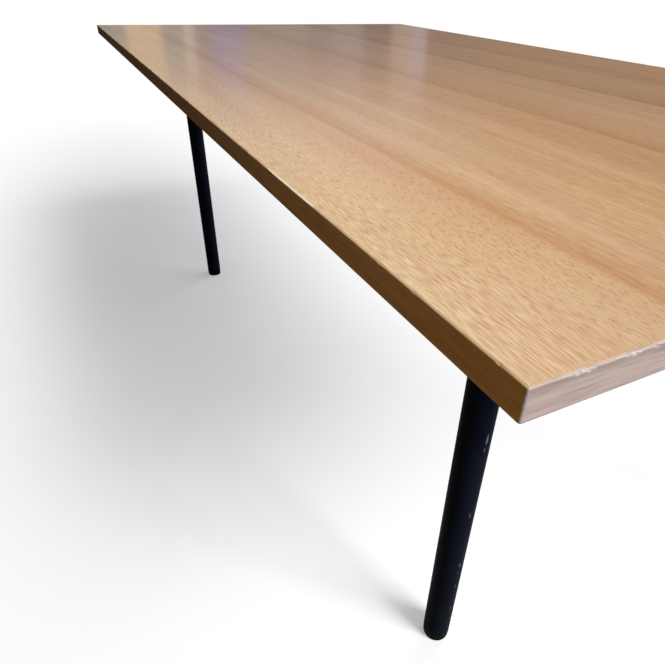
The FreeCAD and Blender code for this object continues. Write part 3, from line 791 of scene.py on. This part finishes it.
CORNERS = ("front_left", "front_right", "rear_left", "rear_right")
leg_box = {corner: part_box("leg_tube_" + corner) for corner in CORNERS}
leg_axis = {}
for corner, (low, high) in leg_box.items():
    leg_axis[corner] = ((low.x + high.x) / 2, (low.y + high.y) / 2)
print("leg axes", {corner: (round(x, 3), round(y, 3)) for corner, (x, y) in leg_axis.items()})

# %% [markdown]
# ## Leg tubes with scuffs
# A leg is a plain tube, 40 mm across. Chairs are pushed against the side that faces the end
# of the table, so the scuffs lie on that side. Marks read off the near leg give the heights;
# the other legs have the same kind of marks, moved about.

# %% Four leg tubes
TUBE_WALL = 0.0015
TUBE_RIM = 0.0004      # rounding of the tube's outer rims
TUBE_RINGS = 230       # rings of points on the outer side
RIM_CLEAR = 0.003      # they stop this far from the rims
MARK_SPREAD = (0.04, 14)  # how far marks are moved on the other legs, in metres and degrees
MARKS = [
    # height, degrees from the side that faces the end, half height, half width in degrees, and strength
    (0.433, 3, 0.015, 7, 1.00),
    (0.417, 1, 0.006, 5, 1.00),
    (0.510, 12, 0.014, 4, 0.60),
    (0.302, 0, 0.010, 5, 0.75),
    (0.285, 6, 0.012, 3, 0.70),
    (0.196, 4, 0.012, 6, 0.80),
    (0.180, 2, 0.010, 4, 0.75),
    (0.145, 6, 0.014, 4, 0.70),
    (0.090, 5, 0.009, 5, 0.75),
]


def leg_tube(corner, seed):
    """Closed outline of the wall, turned. The outer side has many rings, so that it can carry the scuffs."""
    low, high = leg_box[corner]
    radius = (high.x - low.x) / 2
    bore = radius - TUBE_WALL
    wall = [(bore, low.z), (radius, low.z), (radius, high.z), (bore, high.z)]
    outline = rounded(wall, (0, TUBE_RIM, TUBE_RIM, 0))
    side = np.linspace(low.z + RIM_CLEAR, high.z - RIM_CLEAR, TUBE_RINGS)
    rings = np.stack([np.full(side.shape, radius), side], axis=1)
    half = len(outline) // 2
    outline = np.concatenate([outline[:half], rings, outline[half:]])
    points = turned(outline, leg_axis[corner])

    chance = np.random.default_rng(seed)
    marks = np.array(MARKS)
    if corner != "front_right":
        for column, spread in enumerate(MARK_SPREAD):
            marks[:, column] = marks[:, column] + chance.normal(0, spread, len(marks))
    end_side = 0 if corner.endswith("right") else 180
    angle = np.linspace(0, 360, points.shape[1], endpoint=False)
    off = (angle - end_side + 180) % 360 - 180
    outside = outline[:, :1] > radius - MERGE_GAP
    scuffed = knocks(outline[:, 1], off, marks) * outside
    name = "lacquered_leg_tube_" + corner
    mesh = surface(name, points, closed_rows=True, closed_columns=True, scuffed=scuffed)
    show(mesh, black_steel, "table", "leg_tube_" + corner)


for seed, corner in enumerate(CORNERS):
    leg_tube(corner, seed)

# %% [markdown]
# ## Plugs and levelling feet
# A ringed plastic plug is pressed into each tube, and its rim shows as a thin line above the
# foot. The foot is a disc moulded round the head of a threaded spindle, so that turning it
# levels the table. Both are turned from the CAD outline, with the rims rounded.

# %% Four plugs
PLUG_RINGS = 4
RING_HEIGHT = 0.0025
RING_RISE = 0.0035       # how far a ring stands out from the core
PRESS_GAP = 0.0001       # between the rings and the tube
THREAD_GAP = 0.0001      # between the bore and the spindle
RIM_RADIUS = 0.0006
SPINDLE_RADIUS = 0.005


def leg_plug(corner):
    """Rim below the tube, then gripping rings with a narrower core between them, round a plain bore."""
    low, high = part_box("leg_plug_" + corner)
    tube_low = leg_box[corner][0].z
    rim = (high.x - low.x) / 2
    grip = rim - TUBE_WALL - PRESS_GAP
    core = grip - RING_RISE
    bore = SPINDLE_RADIUS + THREAD_GAP
    rings = []
    for z in np.linspace(tube_low, high.z - RING_HEIGHT, PLUG_RINGS):
        rings += [(core, z), (grip, z), (grip, z + RING_HEIGHT), (core, z + RING_HEIGHT)]
    corners = [(bore, low.z), (rim, low.z), (rim, tube_low), *rings[1:-1], (bore, high.z)]
    radii = np.zeros(len(corners))
    radii[1] = RIM_RADIUS
    points = turned(rounded(corners, radii), leg_axis[corner])
    mesh = surface("moulded_leg_plug_" + corner, points, closed_rows=True, closed_columns=True)
    show(mesh, plastic, "table", "leg_plug_" + corner)


for corner in CORNERS:
    leg_plug(corner)

# %% Four feet
FOOT_EDGE = 0.002      # rounding of the edge at the floor
FOOT_FLOOR = 0.003     # height of the spindle's head above the floor
HEAD_RADIUS = 0.010
HEAD_HEIGHT = 0.004
MOULD_GAP = 0.0001     # between the foot and the spindle


def levelling_foot(corner):
    """Disc with a rounded floor edge, and a pouch for the spindle's head, which opens upwards by a neck."""
    low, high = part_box("foot_" + corner)
    rim = (high.x - low.x) / 2
    neck = SPINDLE_RADIUS + MOULD_GAP
    pouch = HEAD_RADIUS + MOULD_GAP
    pouch_low = FOOT_FLOOR - MOULD_GAP
    pouch_top = FOOT_FLOOR + HEAD_HEIGHT + MOULD_GAP
    corners = [(0, low.z), (rim, low.z), (rim, high.z), (neck, high.z)]
    corners = corners + [(neck, pouch_top), (pouch, pouch_top), (pouch, pouch_low), (0, pouch_low)]
    outline = rounded(corners, (0, FOOT_EDGE, RIM_RADIUS, 0, 0, 0, 0, 0))
    mesh = surface("moulded_foot_" + corner, turned(outline, leg_axis[corner]), closed_columns=True)
    show(mesh, plastic, corner + "_foot", "foot_" + corner)


for corner in CORNERS:
    levelling_foot(corner)

# %% [markdown]
# ## Threaded spindles
# When a foot is screwed out, its spindle shows, so it has a real thread: a right-handed M10
# with a pitch of 1.5 mm. On a grid of height by angle the radius follows the thread form,
# and the form is shifted by one pitch per turn, which makes the helix. The spindle is fixed
# in the foot and turns with it, so it rides on the foot's body.

# %% Four spindles
PITCH = 0.0015
THREAD_DEPTH = 0.61 * PITCH
FLANK = 1.45           # steepness of the thread's flanks
CREST = 0.2            # how far the crest is flattened
NECK_PLAIN = 0.001     # plain length above the head
TIP_BEVEL = 0.001
ROWS_PER_PITCH = 14
SPINDLE_SIDES = 48


def spindle(corner):
    """Radius = outer radius - depth x form. The form is a trapezium of height / pitch - angle / full turn."""
    low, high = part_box("foot_spindle_" + corner)
    axis = leg_axis[corner]
    head_top = low.z + HEAD_HEIGHT
    angle = np.linspace(0, 2 * np.pi, SPINDLE_SIDES, endpoint=False)
    height = np.linspace(head_top, high.z, int((high.z - head_top) / PITCH * ROWS_PER_PITCH))
    phase = (height[:, None] / PITCH - angle / (2 * np.pi)) % 1
    form = np.clip(FLANK * np.abs(2 * phase - 1) - CREST, 0, 1)
    run_in = np.clip((height - head_top - NECK_PLAIN) / PITCH, 0, 1)
    lead = np.clip(high.z - height, 0, TIP_BEVEL)
    outer = SPINDLE_RADIUS - TIP_BEVEL + lead
    radius = np.minimum(SPINDLE_RADIUS - THREAD_DEPTH * form * run_in[:, None], outer[:, None])
    flat = np.stack([radius * np.cos(angle), radius * np.sin(angle)], axis=2) + np.asarray(axis)
    shank = np.concatenate([flat, np.broadcast_to(height[:, None, None], (*radius.shape, 1))], axis=2)
    head_outline = np.array([(0, low.z), (HEAD_RADIUS, low.z), (HEAD_RADIUS, head_top)])
    head = turned(head_outline, axis, SPINDLE_SIDES)
    tip = turned(np.array([(0, high.z)]), axis, SPINDLE_SIDES)
    mesh = surface("threaded_spindle_" + corner, np.concatenate([head, shank, tip]), closed_columns=True)
    show(mesh, zinc, corner + "_foot", "foot_spindle_" + corner)


for corner in CORNERS:
    spindle(corner)

# %% [markdown]
# ## Camera
# The camera stands close to the near corner, a little above the top, and looks along the
# table. Its place, its three directions and its focal length come from fitting the edges of
# the top and the legs to the photograph. The shift is small: the photograph was cropped a
# little off its middle.

# %% Camera
FRAME = 665               # photograph's width and height in pixels
FOCAL = 543.0             # focal length in those pixels
CENTRE = (361.1, 341.8)   # pixel straight ahead of the lens
EYE = Vector((1.02468, -0.64842, 0.86389))
HEADING = -61.649         # degrees from +Y, to the right is positive
TILT = 34.108             # degrees down
ROLL = 2.133              # degrees
SENSOR = 36               # millimetres, which stand for the width of the picture

lens = bpy.data.cameras.new("camera")
lens.sensor_width = SENSOR
lens.lens = SENSOR * FOCAL / FRAME
lens.shift_x = (FRAME / 2 - CENTRE[0]) / FRAME
lens.shift_y = (CENTRE[1] - FRAME / 2) / FRAME
lens.clip_start = 0.01
camera = add_object("camera", lens)
heading = Matrix.Rotation(math.radians(-HEADING), 4, "Z")
tilt = Matrix.Rotation(math.radians(90 - TILT), 4, "X")
roll = Matrix.Rotation(math.radians(ROLL), 4, "Z")
camera.matrix_world = Matrix.Translation(EYE) @ (heading @ tilt) @ roll
bpy.context.scene.camera = camera
bpy.context.view_layer.update()
forwards = camera.matrix_world.col[2].xyz * -1
print("lens", round(lens.lens, 2), "mm, looks along", [round(v, 4) for v in forwards])

# %% [markdown]
# ## Floor
# The floor is a plain white sweep. Near the table it is a real matt surface that takes the
# shadow, and further out it fades to plain white. The fade is held off round the front feet,
# so that they stand in their own dark shadow. Only the camera and reflections see the floor
# white. Light that bounces off it on to the table is that of a darker, warmer floor, which
# is why the front edge of the top stays deep brown.

# %% Floor finish
SHADE_CENTRE = (-0.79, -0.44)  # middle of the oval in which the floor keeps its shadow
SHADE_REACH = (1.16, 0.42)     # half its length and half its width
SHADE_FADE = (0.16, 2.3)       # the shadow starts to fade and is gone at these multiples of them
FOOT_SHADE = (0.03, 0.13)      # round a front foot the fade sets in between these distances
FLOOR_LEVEL = 0.86             # how much light the floor gives back
FLOOR_GLOW = 0.33              # what it gives of its own, so that the shadow stays pale


def seen_rays(tree):
    """1 on rays of the camera, of reflections and through glass, and 0 on light that bounces about."""
    path = add(tree, "LightPath").outputs
    seen = path["Is Camera Ray"]
    for kind in ("Is Glossy Ray", "Is Transmission Ray"):
        seen = add(tree, "Math", {0: seen, 1: path[kind]}, operation="MAXIMUM").outputs[0]
    return seen


floor_finish, tree, place = new_material("studio_floor_white")
xyz = add(tree, "SeparateXYZ", {0: place}).outputs
shrunk = per_metre(SHADE_REACH)
centred = {0: place, 1: shrunk, 2: (-SHADE_CENTRE[0] * shrunk[0], -SHADE_CENTRE[1] * shrunk[1], 0)}
oval = add(tree, "VectorMath", centred, operation="MULTIPLY_ADD").outputs[0]
away = add(tree, "VectorMath", {0: oval}, operation="LENGTH").outputs["Value"]
fade = add(tree, "MapRange", {0: away, 1: SHADE_FADE[0], 2: SHADE_FADE[1]}, **SOFT).outputs[0]
half = add(tree, "Math", {0: xyz["X"]}, operation="ABSOLUTE").outputs[0]
folded = add(tree, "CombineXYZ", {0: half, 1: xyz["Y"]}).outputs[0]
foot_place = (*leg_axis["front_right"], 0)
to_foot = add(tree, "VectorMath", {0: folded, 1: foot_place}, operation="DISTANCE").outputs["Value"]
beyond = add(tree, "MapRange", {0: to_foot, 1: FOOT_SHADE[0], 2: FOOT_SHADE[1]}, **SOFT).outputs[0]
fade = add(tree, "Math", {0: fade, 1: beyond}, operation="MULTIPLY").outputs[0]
matt = add(tree, "BsdfDiffuse", {"Color": grey(FLOOR_LEVEL)}).outputs[0]
glow = add(tree, "Emission", {"Color": grey(1.0), "Strength": FLOOR_GLOW}).outputs[0]
near = add(tree, "AddShader", {0: matt, 1: glow}).outputs[0]
far = add(tree, "Emission", {"Color": grey(1.0), "Strength": 1.0}).outputs[0]
white = add(tree, "MixShader", {0: fade, 1: near, 2: far}).outputs[0]
warm = add(tree, "BsdfDiffuse", {"Color": linear("#4C3826")}).outputs[0]
both = add(tree, "MixShader", {0: seen_rays(tree), 1: warm, 2: white}).outputs[0]
add(tree, "OutputMaterial", {0: both})
print("floor finish:", floor_finish.name)

# %% Floor surface
FLOOR_REACH = 60   # from its middle to each edge, in metres
FLOOR_LINES = 13   # lines of points each way

lines = np.linspace(-FLOOR_REACH, FLOOR_REACH, FLOOR_LINES)
across, along = np.meshgrid(lines, lines, indexing="ij")
floor_mesh = surface("studio_floor", np.stack([across, along, np.zeros_like(across)], axis=2))
floor_mesh.materials.append(floor_finish)
floor = add_object("studio_floor", floor_mesh)
print("floor", [round(v, 1) for v in floor.dimensions])

# %% [markdown]
# ## Screen that the lacquer mirrors
# A glossy top shows what stands behind it. A curved screen round the left and front of the
# table gives it something to show: pale on the left, dark and brown towards the rear and the
# front, and low down strips of other tones, which the lacquer draws out into streaks at the
# far end of the top. The camera does not see the screen itself. Each strip is a row with its
# first and last direction in degrees from +X and its tone, and the tones run into each other
# in between.

# %% Screen finish
SCREEN_TURN = (90, 330)     # directions of its ends
STRIP_TURN = (120, 180)     # directions between which the strips lie
STRIP_TOP = (1.5, 2.1)      # heights between which they run into the upper part
STRIPS = [
    (120.0, 138.0, "#867A6B"),
    (145.0, 146.5, "#78706A"),
    (146.8, 147.7, "#A8A6B2"),
    (148.7, 149.6, "#A49A90"),
    (150.2, 152.2, "#60666C"),
    (152.9, 154.8, "#84888E"),
    (156.0, 157.3, "#727A80"),
    (157.8, 163.0, "#7F8489"),
    (163.6, 166.1, "#747DAB"),
    (166.6, 167.5, "#797C88"),
    (167.9, 168.5, "#BEB8B4"),
    (168.8, 170.3, "#8A9496"),
    (170.7, 173.2, "#D5C0A4"),
    (173.6, 174.0, "#8C9098"),
    (179.0, 180.0, "#64646A"),
]
UPPER_TONES = [
    # share of the way round the screen, and the tone there
    (0.00, "#3C2E20"),
    (0.14, "#56483A"),
    (0.20, "#8A7462"),
    (0.26, "#C4B0B0"),
    (0.37, "#C4B0B0"),
    (0.50, "#30241A"),
    (1.00, "#2E2114"),
]

screen_finish, tree, place = new_material("studio_screen_grey")
up = add(tree, "SeparateXYZ", {0: place}).outputs["Z"]
turn = add(tree, "Attribute", attribute_name="turn").outputs["Fac"]
across_strips = add(tree, "MapRange", {0: turn, 1: STRIP_TURN[0], 2: STRIP_TURN[1]}).outputs[0]
strip_stops = []
for first, last, code in STRIPS:
    for degrees in (first, last):
        strip_stops.append(((degrees - STRIP_TURN[0]) / (STRIP_TURN[1] - STRIP_TURN[0]), linear(code)))
strip_colour = add(tree, "ValToRGB", {0: across_strips}, strip_stops).outputs[0]
round_screen = add(tree, "MapRange", {0: turn, 1: SCREEN_TURN[0], 2: SCREEN_TURN[1]}).outputs[0]
upper_colour = add(tree, "ValToRGB", {0: round_screen}, colour_stops(UPPER_TONES)).outputs[0]
top_range = {0: up, 1: STRIP_TOP[0], 2: STRIP_TOP[1], 3: 1.0, 4: 0.0}
strip_share = add(tree, "MapRange", top_range).outputs[0]
shown = add(tree, "Mix", {0: strip_share, 6: upper_colour, 7: strip_colour}, **BLEND).outputs[2]
lit = add(tree, "Emission", {"Color": shown, "Strength": 1.0}).outputs[0]
add(tree, "OutputMaterial", {0: lit})
print("screen finish:", screen_finish.name, "with", len(STRIPS), "strips")

# %% Screen surface
SCREEN_RADIUS = 7.0
SCREEN_RISE = (0.02, 4.0)   # heights of its lower and upper edge
SCREEN_GRID = (121, 5)      # points round and up

directions = np.linspace(*SCREEN_TURN, SCREEN_GRID[0])
rises = np.linspace(*SCREEN_RISE, SCREEN_GRID[1])
turns, heights = np.meshgrid(directions, rises, indexing="ij")
angle = np.radians(turns)
xs = EYE.x + SCREEN_RADIUS * np.cos(angle)
ys = EYE.y + SCREEN_RADIUS * np.sin(angle)
screen_mesh = surface("studio_screen", np.stack([xs, ys, heights], axis=2), turn=turns)
screen_mesh.materials.append(screen_finish)
screen = add_object("studio_screen", screen_mesh)
screen.visible_camera = False
screen.visible_shadow = False
print("screen", [round(v, 1) for v in screen.dimensions])

# %% [markdown]
# ## Light
# The main light is a large soft one behind the table on the right, about 40 degrees up, so
# the shadow of the top falls to the front left. A small one over the front edge, near the
# right end, lifts that part a little. Both are kept out of reflections, or the lacquer would
# mirror them as white patches. A low cool one stands off the right end, below the top: it
# lights the end band and the right side of the legs only. A very weak warm one close to the
# front edge lifts that edge near the corner, and a low one behind lights the floor under
# the table. The world fills in evenly, and is white where the camera or a reflection meets it.

# %% Lamps


def lamp(name, place, target, size, power, colour):
    """A rectangular area lamp at a place, turned towards its target."""
    light = bpy.data.lights.new(name, "AREA")
    light.shape = "RECTANGLE"
    light.size, light.size_y = size
    light.energy = power
    light.color = linear(colour)[:3]
    holder = add_object(name, light)
    aim = (Vector(target) - Vector(place)).to_track_quat("-Z", "Y")
    holder.matrix_world = Matrix.Translation(place) @ aim.to_matrix().to_4x4()
    holder.visible_camera = False
    return holder


overhead = [
    # name, place, target, size, power in watts and colour
    lamp("key_right", (4.54, 1.94, 4.93), (0, 0, 0.7), (2.4, 2.4), 405, "#FFFFFF"),
    lamp("near_end", (0.65, -0.42, 1.3), (0.65, -0.42, 0.7), (0.4, 0.4), 0.8, "#FFFFFF"),
]
for holder in overhead:
    holder.visible_glossy = False
lamp("cool_end", (3.2, 0.2, 0.62), (0.9, -0.2, 0.66), (1.0, 0.5), 15.5, "#6F9FFF")
lamp("warm_front", (1.0, -1.0, 0.6), (0.8, -0.5, 0.71), (0.3, 0.2), 0.31, "#FFC520")
lamp("under_rear", (-0.6, 1.0, 0.35), (-0.6, -0.2, 0.0), (2.0, 0.3), 18, "#E8F2FF")

# %% World
WORLD_FILL = 0.05   # light that the world adds from all sides

world = bpy.data.worlds.new("studio_world")
bpy.context.scene.world = world
world.use_nodes = True
tree = world.node_tree
tree.nodes.clear()
level = add(tree, "MapRange", {0: seen_rays(tree), 3: WORLD_FILL, 4: 1.0}).outputs[0]
sky = add(tree, "Background", {"Color": grey(1.0), "Strength": level}).outputs[0]
add(tree, "OutputWorld", {0: sky})
bpy.context.scene.view_settings.view_transform = "Standard"
print("world lights with", WORLD_FILL, "and looks white")
